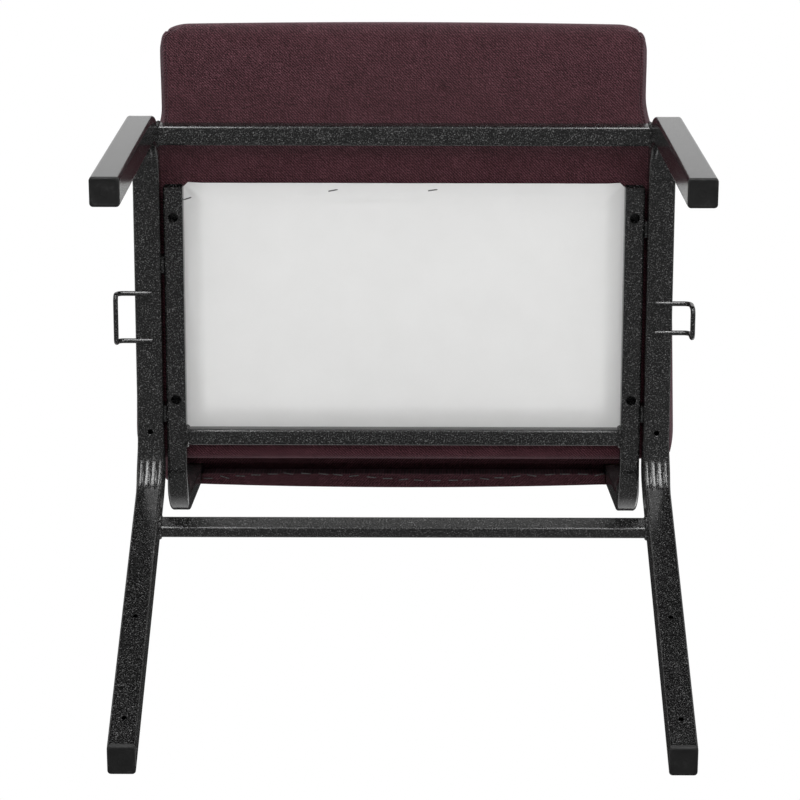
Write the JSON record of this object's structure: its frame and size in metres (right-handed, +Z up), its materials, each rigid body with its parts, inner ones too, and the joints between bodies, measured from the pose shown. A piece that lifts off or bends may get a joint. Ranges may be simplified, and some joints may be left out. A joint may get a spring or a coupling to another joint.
{
  "type": "church chair",
  "caption": "Stacking church chair: bent square-tube steel frame, upholstered seat and back, wire ganging brackets at the sides and a cloth dust cover under the seat.",
  "frame": {"origin": "on the floor, under the middle of the chair's bounding box", "axes": "+Z up, the sitter faces -Y, +X to the viewer's right when seen from the front; left and right in the names are as seen from the front"},
  "size_m": [0.561, 0.5866, 0.8992],
  "materials": {
    "frame_paint": "black textured powder coat with a fine silver vein, semi-gloss",
    "cap_plastic": "black moulded plastic, matt",
    "seat_fabric": "dark burgundy twill weave",
    "dust_sheet": "thin white non-woven cloth",
    "plywood": "raw plywood",
    "foam": "open-cell upholstery foam",
    "zinc_steel": "bright zinc plate",
    "black_zinc": "black zinc plate"
  },
  "bodies": {
    "root": {"leg_frame_left": "frame_paint", "leg_frame_right": "frame_paint", "back_frame_left": "frame_paint", "back_frame_right": "frame_paint", "front_crossbar": "frame_paint", "seat_rear_crossbar": "frame_paint", "rear_leg_stretcher": "frame_paint", "back_top_crossbar": "frame_paint", "rail_spacer_front_left": "frame_paint", "rail_spacer_front_right": "frame_paint", "rail_spacer_rear_left": "frame_paint", "rail_spacer_rear_right": "frame_paint", "gang_loop_left": "frame_paint", "gang_hook_right": "frame_paint", "foot_cap_front_left": "cap_plastic", "foot_cap_front_right": "cap_plastic", "foot_cap_rear_left": "cap_plastic", "foot_cap_rear_right": "cap_plastic", "seat_board": "plywood", "seat_foam": "foam", "seat_cover": "seat_fabric", "seat_dust_cover": "dust_sheet", "seat_screw_front_left": "black_zinc", "seat_screw_front_right": "black_zinc", "seat_screw_rear_left": "black_zinc", "seat_screw_rear_right": "black_zinc", "seat_tee_nut_front_left": "zinc_steel", "seat_tee_nut_front_right": "zinc_steel", "seat_tee_nut_rear_left": "zinc_steel", "seat_tee_nut_rear_right": "zinc_steel", "back_board": "plywood", "back_foam": "foam", "back_cover": "seat_fabric", "back_tacking_strip": "plywood", "back_screw_lower_left": "black_zinc", "back_screw_lower_right": "black_zinc", "back_screw_upper_left": "black_zinc", "back_screw_upper_right": "black_zinc", "back_tee_nut_lower_left": "zinc_steel", "back_tee_nut_lower_right": "zinc_steel", "back_tee_nut_upper_left": "zinc_steel", "back_tee_nut_upper_right": "zinc_steel"}
  },
  "joints": []
}
